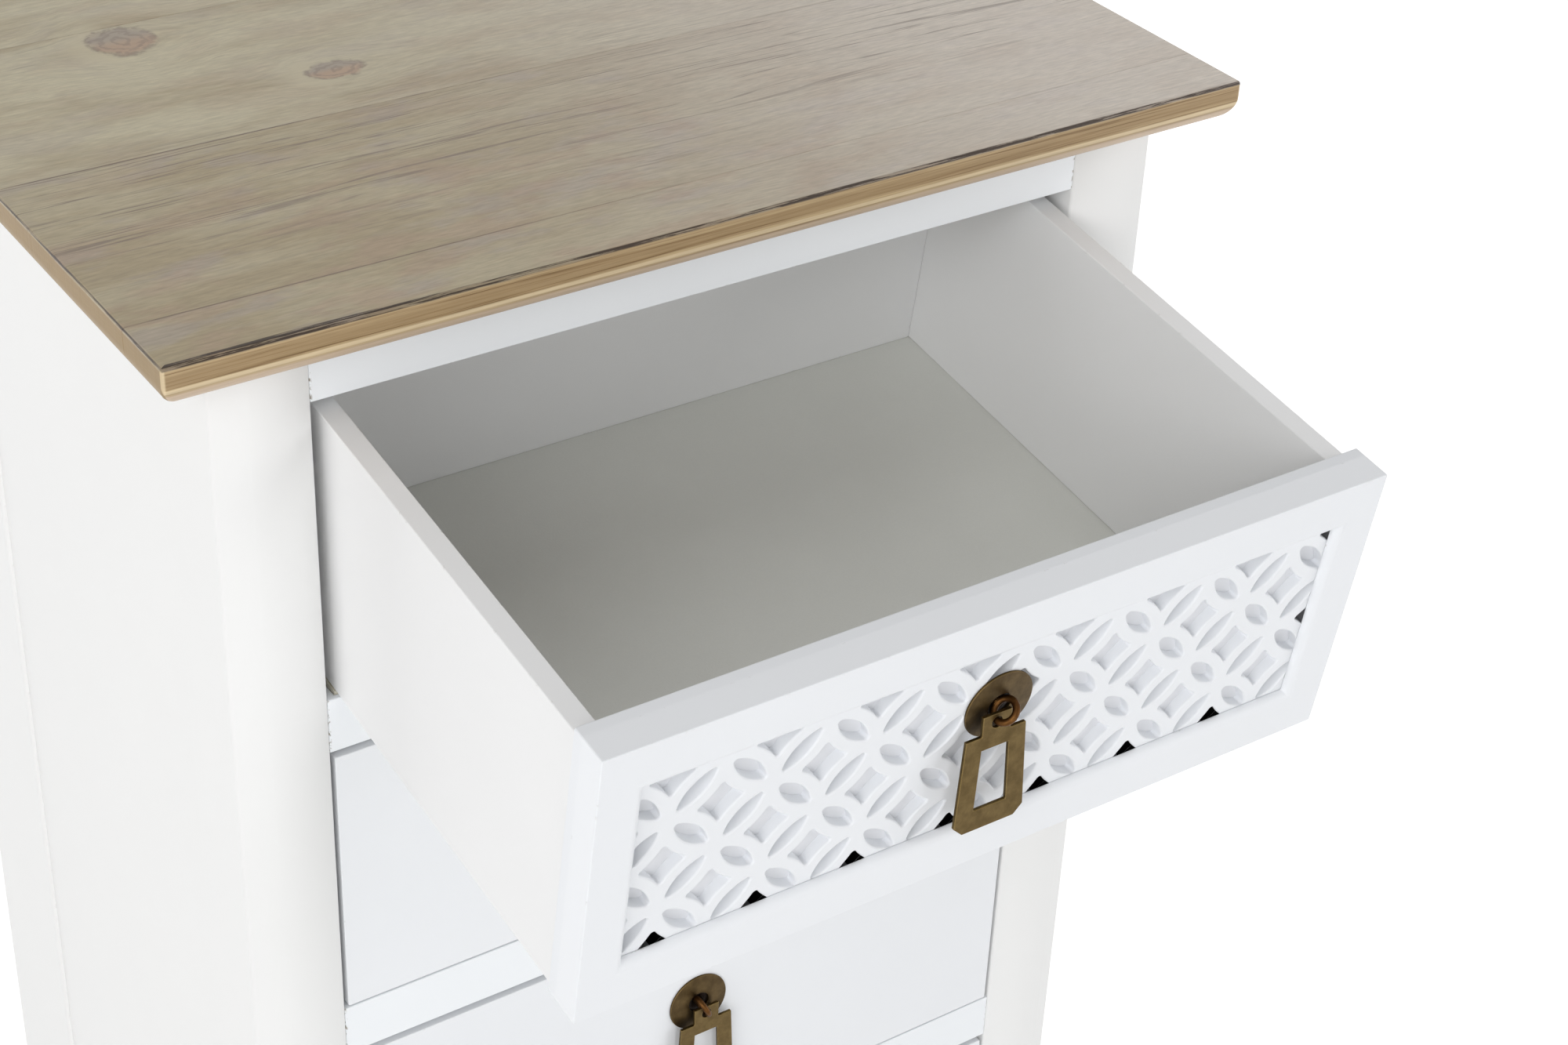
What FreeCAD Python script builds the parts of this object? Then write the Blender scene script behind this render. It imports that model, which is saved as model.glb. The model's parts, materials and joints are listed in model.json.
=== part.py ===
import math
import os

import FreeCAD
import Part

Vector = FreeCAD.Vector

# Driving dimensions, in millimetres and degrees.
# X runs to the right, Y to the back and Z up; the origin is on the floor, under the middle of the top board.

# Top board
top_width = 480.0
top_depth = 350.0
top_thickness = 18.0
top_upper_ease = 1.5
top_under_round = 10.0
top_corner_radius = 1.5
front_plank_width = 32.5
plank_width = 119.5

# Case
front_overhang = 25.0
side_overhang = 25.0
rear_overhang = 7.0
drawer_count = 4
rail_height = 25.0
rail_depth = 34.0
top_rail_height = 27.0
top_rail_depth = 20.0
leg_height = 101.0
post_width = 40.0
front_post_depth = 40.0
post_crown = 6.0
post_ease = 2.0
rear_post_depth = 75.0
tenon_length = 12.0
tenon_shoulder = 5.0
panel_thickness = 12.0
panel_setback = 2.0
panel_tongue = 6.0
back_panel_thickness = 4.0
back_panel_inset = 6.0
back_rail_height = 40.0
back_rail_thickness = 20.0
cleat_size = 25.0
screw_diameter = 4.0
screw_head_diameter = 8.0
screw_grip = 12.0
screws_per_cleat = 3
screw_play = 0.2
foot_diameter = 26.0
foot_height = 4.0
foot_chamfer = 1.0

# Drawer supports
glide_radius = 6.0
glide_length = 10.0
rocking_glide_setback = 9.0
fixed_glide_setback = 26.0
glide_rise = 2.0
groove_play = 0.15
running_gap = 0.2
runner_height = 20.0
runner_ledge = 12.0
guide_height = 18.0
guide_gap = 1.5
stop_width = 30.0
stop_depth = 12.0
stop_height = 6.0
stop_gap = 0.3
stop_spacing = 200.0

# Drawers
front_side_gap = 3.0
front_top_gap = 3.3
front_height = 128.0
front_thickness = 18.0
plain_front_side_gap = 1.9
plain_front_drop = 1.2
front_ease = 0.5
drawer_rear_gap = 8.0
drawer_side_thickness = 9.0
drawer_side_inset = 2.0
drawer_side_drop = 5.0
drawer_back_thickness = 9.0
drawer_back_drop = 4.0
drawer_bottom_thickness = 5.0
drawer_bottom_lift = 7.0
drawer_bottom_tongue = 3.0
drawer_pull_out = 183.0
drawer_tip = 8.1

# Pierced front of the top drawer
back_board_thickness = 5.0
frame_stile = 18.7
frame_rail = 21.5
frame_round = 3.8
lattice_recess = 4.0
lattice_thickness = 5.0
lattice_rebate = 9.0
lattice_play = 0.25
circle_radius = 21.3
strap_width = 5.4
hole_tip_radius = 1.2
star_offset_x = -12.0
star_drop = 24.8

# Pulls
pull_drop = 49.5
rosette_diameter = 30.0
rosette_rim = 1.0
rosette_crown = 1.5
rosette_hole = 10.4
pin_wire = 2.8
pin_shank = 3.2
pin_ring_radius = 4.6
pin_leg_length = 8.0
pin_leg_wire = 2.0
pin_hole_play = 0.2
ring_play = 0.1
pendant_thickness = 1.6
pendant_hole = 4.8
pendant_hang_play = 0.5
pendant_tab_width = 13.0
pendant_tab_above_hole = 4.0
pendant_tab_below_hole = 2.2
pendant_shoulder_width = 27.0
pendant_foot_width = 31.6
pendant_body_height = 42.5
pendant_chamfer = 4.0
pendant_window_top_width = 12.2
pendant_window_foot_width = 14.6
pendant_window_top = 6.3
pendant_window_height = 26.8
ring_turns = [45.0, 0.0, -25.0, 0.0]

# Levels and places that follow from the driving dimensions
opening_height = glide_rise + running_gap + front_height + front_top_gap
height = top_thickness + top_rail_height + drawer_count * (opening_height + rail_height) + leg_height
under_top = height - top_thickness
half_width = top_width / 2 - side_overhang
half_opening = half_width - post_width
front_y = -top_depth / 2 + front_overhang
rear_y = top_depth / 2 - rear_overhang
front_post_rear_y = front_y + front_post_depth
rear_post_front_y = rear_y - rear_post_depth
back_panel_y = rear_y - back_panel_inset - back_panel_thickness
panel_outer_x = half_width - panel_setback
panel_inner_x = panel_outer_x - panel_thickness
drawer_length = back_panel_y - back_rail_thickness - drawer_rear_gap - front_y
rocking_glide_y = front_y + rocking_glide_setback
fixed_glide_y = front_y + fixed_glide_setback
half_front = half_opening - front_side_gap
half_plain_front = half_opening - plain_front_side_gap
half_drawer = half_front - drawer_side_inset
half_inside = half_drawer - drawer_side_thickness
glide_x = half_drawer - drawer_side_thickness / 2
side_height = front_height - drawer_side_drop
floor_of_drawer = drawer_bottom_lift + drawer_bottom_thickness
ring_outer = pin_ring_radius + pin_wire / 2
ring_stand = rosette_crown + math.sqrt(ring_outer**2 - rosette_hole**2 / 4) + ring_play

# Two places closer than this count as one when edges are picked
same_place = 1e-4

parts = {}


def box(x0, x1, y0, y1, z0, z1):
    return Part.makeBox(x1 - x0, y1 - y0, z1 - z0, Vector(x0, y0, z0))


def mirrored(shape):
    return shape.mirror(Vector(0, 0, 0), Vector(1, 0, 0))


def cylinder_x(radius, x0, x1, y, z):
    return Part.makeCylinder(radius, x1 - x0, Vector(x0, y, z), Vector(1, 0, 0))


def cylinder_y(radius, x, z, y0, y1):
    return Part.makeCylinder(radius, y1 - y0, Vector(x, y0, z), Vector(0, 1, 0))


def cylinder_z(radius, x, y, z0, z1):
    return Part.makeCylinder(radius, z1 - z0, Vector(x, y, z0))


def upright_edges(shape, x, y):
    """Vertical edges of a shape that stand at one place in plan."""
    found = []
    for edge in shape.Edges:
        ends = [vertex.Point for vertex in edge.Vertexes]
        if all(math.hypot(end.x - x, end.y - y) < same_place for end in ends):
            found.append(edge)
    return found


def rail_top(drawer):
    """Height of the rail's upper face under a drawer, with drawer 1 uppermost."""
    below_top_rail = under_top - top_rail_height
    return below_top_rail - drawer * opening_height - (drawer - 1) * rail_height


def drawer_base(drawer):
    """Height of a closed drawer's lower edge, on its glides."""
    return rail_top(drawer) + glide_rise + running_gap


# Top board


def top_edges(board, z):
    """The front and side edges of the board at one level, with the corner arcs between them."""
    found = []
    for edge in board.Edges:
        size = edge.BoundBox
        level = abs(size.ZMin - z) < same_place and abs(size.ZMax - z) < same_place
        at_back = abs(size.YMin - top_depth / 2) < same_place
        if level and not at_back:
            found.append(edge)
    return found


def top_board():
    board = box(-top_width / 2, top_width / 2, -top_depth / 2, top_depth / 2, under_top, height)
    corners = upright_edges(board, -top_width / 2, -top_depth / 2)
    corners += upright_edges(board, top_width / 2, -top_depth / 2)
    board = board.makeFillet(top_corner_radius, corners)
    board = board.makeFillet(top_under_round, top_edges(board, under_top))
    return board.makeFillet(top_upper_ease, top_edges(board, height))


def plank_lines():
    """Where the glue lines run across the depth of the top, front to back."""
    lines = [-top_depth / 2, -top_depth / 2 + front_plank_width]
    while lines[-1] + plank_width < top_depth / 2:
        lines.append(lines[-1] + plank_width)
    lines.append(top_depth / 2)
    return lines


def cleat_screw_places():
    """Plan positions of the screws that hold the top, on the left cleat."""
    run = rear_post_front_y - front_post_rear_y
    x = -panel_inner_x + cleat_size / 2
    return [(x, front_post_rear_y + run * (n + 0.5) / screws_per_cleat) for n in range(screws_per_cleat)]


def screw(x, y, play=0.0):
    """A countersunk screw that points up from the underside of a cleat."""
    foot = under_top - cleat_size
    shank_radius = screw_diameter / 2 + play
    head_radius = screw_head_diameter / 2 + play
    head_height = head_radius - shank_radius
    head = Part.makeCone(head_radius, shank_radius, head_height, Vector(x, y, foot))
    return head.fuse(cylinder_z(shank_radius, x, y, foot, under_top + screw_grip + play))


def both_sides(places):
    return places + [(-x, y) for x, y in places]


def make_top():
    board = top_board()
    for x, y in both_sides(cleat_screw_places()):
        board = board.cut(screw(x, y, screw_play))
    lines = plank_lines()
    for n in range(len(lines) - 1):
        slab = box(-top_width, top_width, lines[n], lines[n + 1], 0, height + top_thickness)
        parts["top_plank_%d" % (n + 1)] = board.common(slab)


# Case


def right_panel():
    y0 = front_post_rear_y - panel_tongue
    y1 = rear_post_front_y + panel_tongue
    return box(panel_inner_x, panel_outer_x, y0, y1, leg_height, under_top)


def back_panel():
    half = half_opening + panel_tongue
    return box(-half, half, back_panel_y, back_panel_y + back_panel_thickness, leg_height, under_top)


def rail(depth, z0, z1):
    """A rail across the front with a stub tenon at each end."""
    body = box(-half_opening, half_opening, front_y, front_y + depth, z0, z1)
    reach = half_opening + tenon_length
    s = tenon_shoulder
    return body.fuse(box(-reach, reach, front_y + s, front_y + depth - s, z0 + s, z1 - s)).removeSplitter()


def front_rails():
    rails = {"top_rail": rail(top_rail_depth, under_top - top_rail_height, under_top)}
    for drawer in range(1, drawer_count + 1):
        name = "bottom_rail" if drawer == drawer_count else "divider_rail_%d" % drawer
        level = rail_top(drawer)
        rails[name] = rail(rail_depth, level - rail_height, level)
    return rails


def right_front_post():
    front = Part.Arc(
        Vector(half_opening, front_y, foot_height),
        Vector(half_opening + post_width / 2, front_y - post_crown, foot_height),
        Vector(half_width, front_y, foot_height),
    ).toShape()
    outline = [
        Vector(half_width, front_y, foot_height),
        Vector(half_width, front_post_rear_y, foot_height),
        Vector(half_opening, front_post_rear_y, foot_height),
        Vector(half_opening, front_y, foot_height),
    ]
    wire = Part.Wire([front] + Part.makePolygon(outline).Edges)
    post = Part.Face(wire).extrude(Vector(0, 0, under_top - foot_height))
    return post.makeFillet(post_ease, upright_edges(post, half_width, front_y))


def right_rear_post():
    post = box(half_opening, half_width, rear_post_front_y, rear_y, foot_height, under_top)
    arrises = upright_edges(post, half_width, rear_post_front_y)
    arrises += upright_edges(post, half_width, rear_y)
    return post.makeFillet(post_ease, arrises)


def make_case():
    rails = front_rails()
    panel = right_panel()
    back = back_panel()
    front_post = right_front_post().cut(panel)
    for shape in rails.values():
        front_post = front_post.cut(shape)
    rear_post = right_rear_post().cut(panel).cut(back)
    for drawer in range(1, drawer_count + 1):
        name = "bottom_rail" if drawer == drawer_count else "divider_rail_%d" % drawer
        rails[name] = rails[name].cut(glide_grooves(drawer))
    parts.update(rails)
    parts["front_post_right"] = front_post
    parts["front_post_left"] = mirrored(front_post)
    parts["rear_post_right"] = rear_post
    parts["rear_post_left"] = mirrored(rear_post)
    parts["side_panel_right"] = panel
    parts["side_panel_left"] = mirrored(panel)
    parts["back_panel"] = back


def make_back_rails():
    y0 = back_panel_y - back_rail_thickness
    upper = box(-half_opening, half_opening, y0, back_panel_y, under_top - back_rail_height, under_top)
    lower = box(-half_opening, half_opening, y0, back_panel_y, leg_height, leg_height + back_rail_height)
    parts["back_rails"] = Part.makeCompound([upper, lower])


def make_cleats():
    x0 = -panel_inner_x
    z0 = under_top - cleat_size
    left = box(x0, x0 + cleat_size, front_post_rear_y, rear_post_front_y, z0, under_top)
    for x, y in cleat_screw_places():
        left = left.cut(screw(x, y, screw_play))
    parts["top_cleats"] = Part.makeCompound([left, mirrored(left)])
    screws = [screw(x, y) for x, y in both_sides(cleat_screw_places())]
    parts["top_screws"] = Part.makeCompound(screws)


def make_feet():
    x = half_opening + post_width / 2
    feet = []
    for y in (front_y + front_post_depth / 2, rear_y - rear_post_depth / 2):
        foot = cylinder_z(foot_diameter / 2, x, y, 0, foot_height)
        lower_edges = [edge for edge in foot.Edges if edge.BoundBox.ZMax < same_place]
        foot = foot.makeChamfer(foot_chamfer, lower_edges)
        feet += [foot, mirrored(foot)]
    parts["foot_glides"] = Part.makeCompound(feet)


# Drawer supports


def glide_y(drawer):
    """Where a drawer's glides lie: under the tipping front of drawer 1, under the sides of the others."""
    return rocking_glide_y if drawer == 1 else fixed_glide_y


def right_glide(drawer):
    """A nylon pad, round below and flat above, that lies in a groove of the rail."""
    y = glide_y(drawer)
    z = rail_top(drawer)
    round_pad = cylinder_x(glide_radius, glide_x - glide_length / 2, glide_x + glide_length / 2, y, z)
    reach = 2 * glide_radius
    under_flat = box(0, glide_x + reach, y - reach, y + reach, z - reach, z + glide_rise)
    return round_pad.common(under_flat)


def glide_grooves(drawer):
    half = glide_length / 2 + running_gap
    radius = glide_radius + groove_play
    groove = cylinder_x(radius, glide_x - half, glide_x + half, glide_y(drawer), rail_top(drawer))
    return Part.makeCompound([groove, mirrored(groove)])


def make_glides():
    rocking = right_glide(1)
    rocking.rotate(Vector(0, rocking_glide_y, rail_top(1)), Vector(1, 0, 0), drawer_tip)
    parts["rocking_glides"] = Part.makeCompound([rocking, mirrored(rocking)])
    fixed = []
    for drawer in range(2, drawer_count + 1):
        glide = right_glide(drawer)
        fixed += [glide, mirrored(glide)]
    parts["fixed_glides"] = Part.makeCompound(fixed)


def make_runners():
    """A batten at each side of each drawer, with a strip that guides the drawer's side."""
    runners = []
    for drawer in range(1, drawer_count + 1):
        top = rail_top(drawer) + glide_rise
        ledge_x = half_drawer - runner_ledge
        guide_x = half_drawer + guide_gap
        y0 = front_post_rear_y
        y1 = rear_post_front_y
        ledge = box(ledge_x, panel_inner_x, y0, y1, top - runner_height, top)
        guide = box(guide_x, panel_inner_x, y0, y1, top, top + guide_height)
        runner = ledge.fuse(guide).removeSplitter()
        runners += [runner, mirrored(runner)]
    parts["drawer_runners"] = Part.makeCompound(runners)


def make_stops():
    """Blocks on the rails that a drawer's front meets when it is shut."""
    y0 = front_y + front_thickness + stop_gap
    stops = []
    for drawer in range(1, drawer_count + 1):
        z = rail_top(drawer)
        x = stop_spacing / 2
        stop = box(x - stop_width / 2, x + stop_width / 2, y0, y0 + stop_depth, z, z + stop_height)
        stops += [stop, mirrored(stop)]
    parts["drawer_stops"] = Part.makeCompound(stops)


# Drawers


def placed(shape, drawer):
    """A drawer's piece at rest: drawer 1 stands open and tipped on its glides, the others are shut."""
    if drawer == 1:
        shape.translate(Vector(0, -drawer_pull_out, 0))
        shape.rotate(Vector(0, rocking_glide_y, rail_top(1)), Vector(1, 0, 0), drawer_tip)
    return shape


def pull_hole(drawer):
    """Clearance for the split pin through all of the drawer's front, dished for the back of its ring."""
    centre = ring_centre(drawer)
    bore = cylinder_y(pin_shank / 2 + pin_hole_play, 0, centre.z, centre.y, front_y + 2 * front_thickness)
    return bore.fuse(Part.makeSphere(ring_outer + pin_hole_play, centre))


def drawer_bottom(base):
    y0 = front_y + front_thickness - drawer_bottom_tongue
    half = half_inside + drawer_bottom_tongue
    z0 = base + drawer_bottom_lift
    return box(-half, half, y0, front_y + drawer_length, z0, z0 + drawer_bottom_thickness)


def drawer_box(drawer):
    """The two sides, the back and the bottom of a drawer."""
    base = drawer_base(drawer)
    bottom = drawer_bottom(base)
    y0 = front_y + front_thickness
    y1 = front_y + drawer_length
    side = box(half_inside, half_drawer, y0, y1, base, base + side_height).cut(bottom)
    back_top = base + side_height - drawer_back_drop
    back = box(-half_inside, half_inside, y1 - drawer_back_thickness, y1, base + floor_of_drawer, back_top)
    return {"side_right": side, "side_left": mirrored(side), "back": back, "bottom": bottom}


def front_block(base, y0, y1):
    return box(-half_front, half_front, y0, y1, base, base + front_height)


def edges_on_plane(shape, y):
    """Edges of a shape that lie wholly on one upright plane across the front."""
    found = []
    for edge in shape.Edges:
        size = edge.BoundBox
        if abs(size.YMin - y) < same_place and abs(size.YMax - y) < same_place:
            found.append(edge)
    return found


def plain_front(drawer):
    base = drawer_base(drawer)
    foot = base - plain_front_drop
    head = base + front_height
    front = box(-half_plain_front, half_plain_front, front_y, front_y + front_thickness, foot, head)
    front = front.makeFillet(front_ease, edges_on_plane(front, front_y))
    return front.cut(drawer_bottom(base)).cut(pull_hole(drawer))


# Fretwork of overlapping circles: pointed ovals where two circles cross, four-pointed stars between


def plan_point(x, z):
    return Vector(x, 0, z)


def lens_face():
    """Oval between two neighbouring circles, lying along Z, with rounded tips."""
    half_pitch = circle_radius / math.sqrt(2)
    inner = circle_radius - strap_width / 2
    tip = math.sqrt((inner - hole_tip_radius) ** 2 - half_pitch**2)
    share = inner / (inner - hole_tip_radius)
    x = half_pitch * share - half_pitch
    z = tip * share
    waist = inner - half_pitch
    end = tip + hole_tip_radius
    arcs = [
        Part.Arc(plan_point(x, -z), plan_point(waist, 0), plan_point(x, z)),
        Part.Arc(plan_point(x, z), plan_point(0, end), plan_point(-x, z)),
        Part.Arc(plan_point(-x, z), plan_point(-waist, 0), plan_point(-x, -z)),
        Part.Arc(plan_point(-x, -z), plan_point(0, -end), plan_point(x, -z)),
    ]
    return Part.Face(Part.Wire([arc.toShape() for arc in arcs]))


def star_face():
    """Hollow-sided square left between four circles, with rounded tips along X and Z."""
    outer = circle_radius + strap_width / 2
    tip = circle_radius - math.sqrt((outer + hole_tip_radius) ** 2 - circle_radius**2)
    share = hole_tip_radius / (outer + hole_tip_radius)
    far = tip + (circle_radius - tip) * share
    near = circle_radius * share
    waist = circle_radius - outer / math.sqrt(2)
    end = tip + hole_tip_radius
    edges = []
    for quarter in range(4):
        turn = FreeCAD.Rotation(Vector(0, 1, 0), -90 * quarter)
        tip_arc = [plan_point(far, -near), plan_point(end, 0), plan_point(far, near)]
        side_arc = [plan_point(far, near), plan_point(waist, waist), plan_point(near, far)]
        for points in (tip_arc, side_arc):
            edges.append(Part.Arc(*[turn.multVec(point) for point in points]).toShape())
    return Part.Face(Part.Wire(edges))


def window_bounds(base):
    """Low and high corners, in X and Z, of the opening in the front frame."""
    half = half_front - frame_stile
    return -half, half, base + frame_rail, base + front_height - frame_rail


def fret_holes(base):
    """Every hole of the fretwork that shows in the window, and apart from them the stars cut by its edge."""
    x0, x1, z0, z1 = window_bounds(base)
    first_z = base + front_height - star_drop
    columns = int(half_front / circle_radius) + 2
    rows = int(front_height / circle_radius) + 2
    lens = lens_face()
    star = star_face()
    half_star = star.BoundBox.XMax
    half_lens = lens.BoundBox.ZMax / math.sqrt(2)
    holes = []
    cut_stars = []
    for column in range(-columns, columns + 1):
        for row in range(-rows, 2):
            x = star_offset_x + column * circle_radius
            z = first_z + row * circle_radius
            on_star = (column + row) % 2 == 0
            beside = not x0 < x < x1
            below = not z0 < z < z1
            shows = x0 - half_star < x < x1 + half_star and z0 - half_star < z < z1 + half_star
            if on_star and shows and not (beside and below):
                group = cut_stars if beside or below else holes
                group.append(star.translated(Vector(x, 0, z)))
            x += circle_radius / 2
            z += circle_radius / 2
            if x0 - half_lens < x < x1 + half_lens and z0 - half_lens < z < z1 + half_lens:
                hole = lens.copy()
                hole.rotate(Vector(0, 0, 0), Vector(0, 1, 0), -45 if on_star else 45)
                holes.append(hole.translated(Vector(x, 0, z)))
    return holes, cut_stars


def panel_sheet(x0, x1, z0, z1, y0, y1, holes):
    corners = [(x0, z0), (x1, z0), (x1, z1), (x0, z1), (x0, z0)]
    sheet = Part.Face(Part.makePolygon([plan_point(x, z) for x, z in corners]))
    for hole in holes:
        sheet = sheet.cut(hole)
    sheet = max(sheet.Faces, key=lambda face: face.Area)
    return sheet.translated(Vector(0, y0, 0)).extrude(Vector(0, y1 - y0, 0))


def pierced_front(drawer):
    """Frame, fretwork, backing and back board that together make the top drawer's front."""
    base = drawer_base(drawer)
    x0, x1, z0, z1 = window_bounds(base)
    lattice_y = front_y + lattice_recess
    backing_y = lattice_y + lattice_thickness
    board_y = front_y + front_thickness - back_board_thickness
    frame = front_block(base, front_y, board_y).cut(box(x0, x1, front_y, board_y, z0, z1))
    window_edges = [edge for edge in edges_on_plane(frame, front_y) if not outer_edge(edge)]
    frame = frame.makeFillet(frame_round, window_edges)
    outside_edges = [edge for edge in edges_on_plane(frame, front_y) if outer_edge(edge)]
    frame = frame.makeFillet(front_ease, outside_edges)
    r = lattice_rebate
    frame = frame.cut(box(x0 - r, x1 + r, lattice_y, board_y, z0 - r, z1 + r))
    holes, cut_stars = fret_holes(base)
    r = lattice_rebate - lattice_play
    bounds = (x0 - r, x1 + r, z0 - r, z1 + r)
    lattice = panel_sheet(*bounds, lattice_y, backing_y, holes + cut_stars)
    backing = panel_sheet(*bounds, backing_y, board_y, cut_stars)
    board = front_block(base, board_y, front_y + front_thickness)
    hole = pull_hole(drawer)
    return {
        "front_frame": frame,
        "fretwork": lattice.cut(hole),
        "fretwork_backing": backing.cut(hole),
        "front_board": board.cut(drawer_bottom(base)).cut(hole),
    }


def outer_edge(edge):
    """Whether an edge of the front frame runs along its outside."""
    size = edge.BoundBox
    along_end = size.XLength < same_place and abs(abs(size.XMin) - half_front) < same_place
    along_length = size.ZLength < same_place and abs(size.XLength - 2 * half_front) < same_place
    return along_end or along_length


# Pulls


def seat_y(drawer):
    """The face that a drawer's rosette sits on."""
    return front_y + lattice_recess if drawer == 1 else front_y


def ring_centre(drawer):
    z = drawer_base(drawer) + front_height - pull_drop
    return Vector(0, seat_y(drawer) - ring_stand, z)


def ring_direction(drawer):
    """From the ring's centre to the point on it that the pendant hangs from."""
    turn = math.radians(ring_turns[(drawer - 1) % len(ring_turns)])
    return Vector(-math.sin(turn), 0, -math.cos(turn))


def rosette(drawer):
    """A thin round plate with a low crown and a hole that the ring of the split pin rests on."""
    radius = rosette_diameter / 2
    back = seat_y(drawer)
    z = ring_centre(drawer).z
    rim = Vector(radius, back - rosette_rim, z)
    crown = Vector(0, back - rosette_crown, z)
    bulge = rosette_crown - rosette_rim
    sphere = (radius**2 + bulge**2) / (2 * bulge)
    fall = sphere - math.sqrt(sphere**2 - radius**2 / 4)
    between = Vector(radius / 2, back - rosette_crown + fall, z)
    centre = Vector(0, back, z)
    edge = Vector(radius, back, z)
    face = Part.Arc(rim, between, crown).toShape()
    lines = Part.makePolygon([crown, centre, edge, rim]).Edges
    plate = Part.Face(Part.Wire([face] + lines)).revolve(centre, Vector(0, 1, 0), 360)
    hole = cylinder_y(rosette_hole / 2, 0, z, back - 2 * rosette_crown, back + rosette_crown)
    return Part.makeSolid(plate.Shells[0]).cut(hole)


def split_pin(drawer):
    """A pin of folded wire: a ring in front, a shank through the front, two legs bent over behind."""
    centre = ring_centre(drawer)
    down = ring_direction(drawer)
    axis = down.cross(Vector(0, 1, 0))
    ring = Part.makeTorus(pin_ring_radius, pin_wire / 2, centre, axis)
    rear = front_y + front_thickness
    leg_y = rear + pin_leg_wire / 2 + running_gap / 2
    shank = cylinder_y(pin_shank / 2, 0, centre.z, centre.y + pin_ring_radius, leg_y + pin_leg_wire)
    legs = cylinder_x(pin_leg_wire / 2, -pin_leg_length, pin_leg_length, leg_y, centre.z)
    return ring.fuse([shank, legs])


def hook_point(drawer):
    """The lowest point of the ring's wire at rest, where the pendant hangs."""
    point = ring_centre(drawer) + ring_direction(drawer) * pin_ring_radius
    return placed(Part.Vertex(point), drawer).Point


def pendant(drawer):
    """A flat plate that hangs plumb, with a tab for the ring, square shoulders and a tall window."""
    hook = hook_point(drawer)
    hole_z = pin_wire / 2 + pendant_hang_play - pendant_hole / 2
    tab_top = hole_z + pendant_tab_above_hole
    shoulder = hole_z - pendant_tab_below_hole - pendant_hole / 2
    foot = shoulder - pendant_body_height
    half_tab = pendant_tab_width / 2
    half_shoulder = pendant_shoulder_width / 2
    half_foot = pendant_foot_width / 2
    c = pendant_chamfer
    right = [
        (half_tab, tab_top),
        (half_tab, shoulder),
        (half_shoulder, shoulder),
        (half_foot, foot + c),
        (half_foot - c, foot),
    ]
    outline = right + [(-x, z) for x, z in reversed(right)]
    window_top = shoulder - pendant_window_top
    window_foot = window_top - pendant_window_height
    window = [
        (pendant_window_top_width / 2, window_top),
        (pendant_window_foot_width / 2, window_foot),
        (-pendant_window_foot_width / 2, window_foot),
        (-pendant_window_top_width / 2, window_top),
    ]

    def plate(points):
        ring = [Vector(x, -pendant_thickness / 2, z) for x, z in points + points[:1]]
        return Part.Face(Part.makePolygon(ring)).extrude(Vector(0, pendant_thickness, 0))

    hole = cylinder_y(pendant_hole / 2, 0, hole_z, -pendant_thickness, pendant_thickness)
    shape = plate(outline).cut(plate(window)).cut(hole)
    shape.translate(hook)
    return shape


def make_drawers():
    for drawer in range(1, drawer_count + 1):
        pieces = drawer_box(drawer)
        if drawer == 1:
            pieces.update(pierced_front(drawer))
        else:
            pieces["front"] = plain_front(drawer)
        pieces["rosette"] = rosette(drawer)
        pieces["split_pin"] = split_pin(drawer)
        for name, shape in pieces.items():
            parts["drawer_%d_%s" % (drawer, name)] = placed(shape, drawer)
        parts["drawer_%d_pendant" % drawer] = pendant(drawer)


make_top()
make_case()
make_back_rails()
make_cleats()
make_feet()
make_glides()
make_runners()
make_stops()
make_drawers()

os.makedirs("parts", exist_ok=True)
for node, shape in sorted(parts.items()):
    shape.exportStep("parts/%s.step" % node)

print("pieces", len(parts), "height", height)
for drawer in range(1, drawer_count + 1):
    print("ring centre", drawer, placed(Part.Vertex(ring_centre(drawer)), drawer).Point)
print("glide axis", rocking_glide_y, rail_top(1))
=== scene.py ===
"""The looks of a small white chest of drawers with a weathered plank top and a pierced top drawer."""
import json
from math import cos, pi, radians, sin

import bmesh
import bpy
from mathutils import Euler, Matrix, Vector


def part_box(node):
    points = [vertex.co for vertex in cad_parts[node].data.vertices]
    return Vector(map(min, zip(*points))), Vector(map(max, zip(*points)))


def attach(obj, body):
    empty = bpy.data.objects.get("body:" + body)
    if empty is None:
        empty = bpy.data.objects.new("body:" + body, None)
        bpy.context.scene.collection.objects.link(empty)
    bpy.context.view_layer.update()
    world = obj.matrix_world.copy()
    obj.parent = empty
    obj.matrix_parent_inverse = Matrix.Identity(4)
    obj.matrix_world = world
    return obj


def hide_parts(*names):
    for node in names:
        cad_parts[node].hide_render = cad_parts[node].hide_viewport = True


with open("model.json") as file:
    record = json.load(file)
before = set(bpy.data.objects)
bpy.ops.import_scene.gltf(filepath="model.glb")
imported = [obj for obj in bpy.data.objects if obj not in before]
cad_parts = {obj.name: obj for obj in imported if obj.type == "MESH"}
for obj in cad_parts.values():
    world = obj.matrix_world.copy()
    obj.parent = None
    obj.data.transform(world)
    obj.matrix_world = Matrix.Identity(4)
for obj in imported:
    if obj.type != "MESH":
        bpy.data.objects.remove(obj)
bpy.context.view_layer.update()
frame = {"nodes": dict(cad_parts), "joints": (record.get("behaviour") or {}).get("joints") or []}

# Four posts, the corners of the case: planed hardwood, the front pair with a softly crowned face.
# The rails and panels are glued between them, and the case is then sprayed with satin white paint.
post_ease = 0.0009
post_wear = 0.2
paint_relief = 0.00006
chip_reach = 0.0012
rim_steps = 3
sharp_angle = radians(35)
flat_angle = radians(0.4)
same_point = 0.00001
touching = 0.0001
post_names = ["front_post_left", "front_post_right", "rear_post_left", "rear_post_right"]


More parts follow.
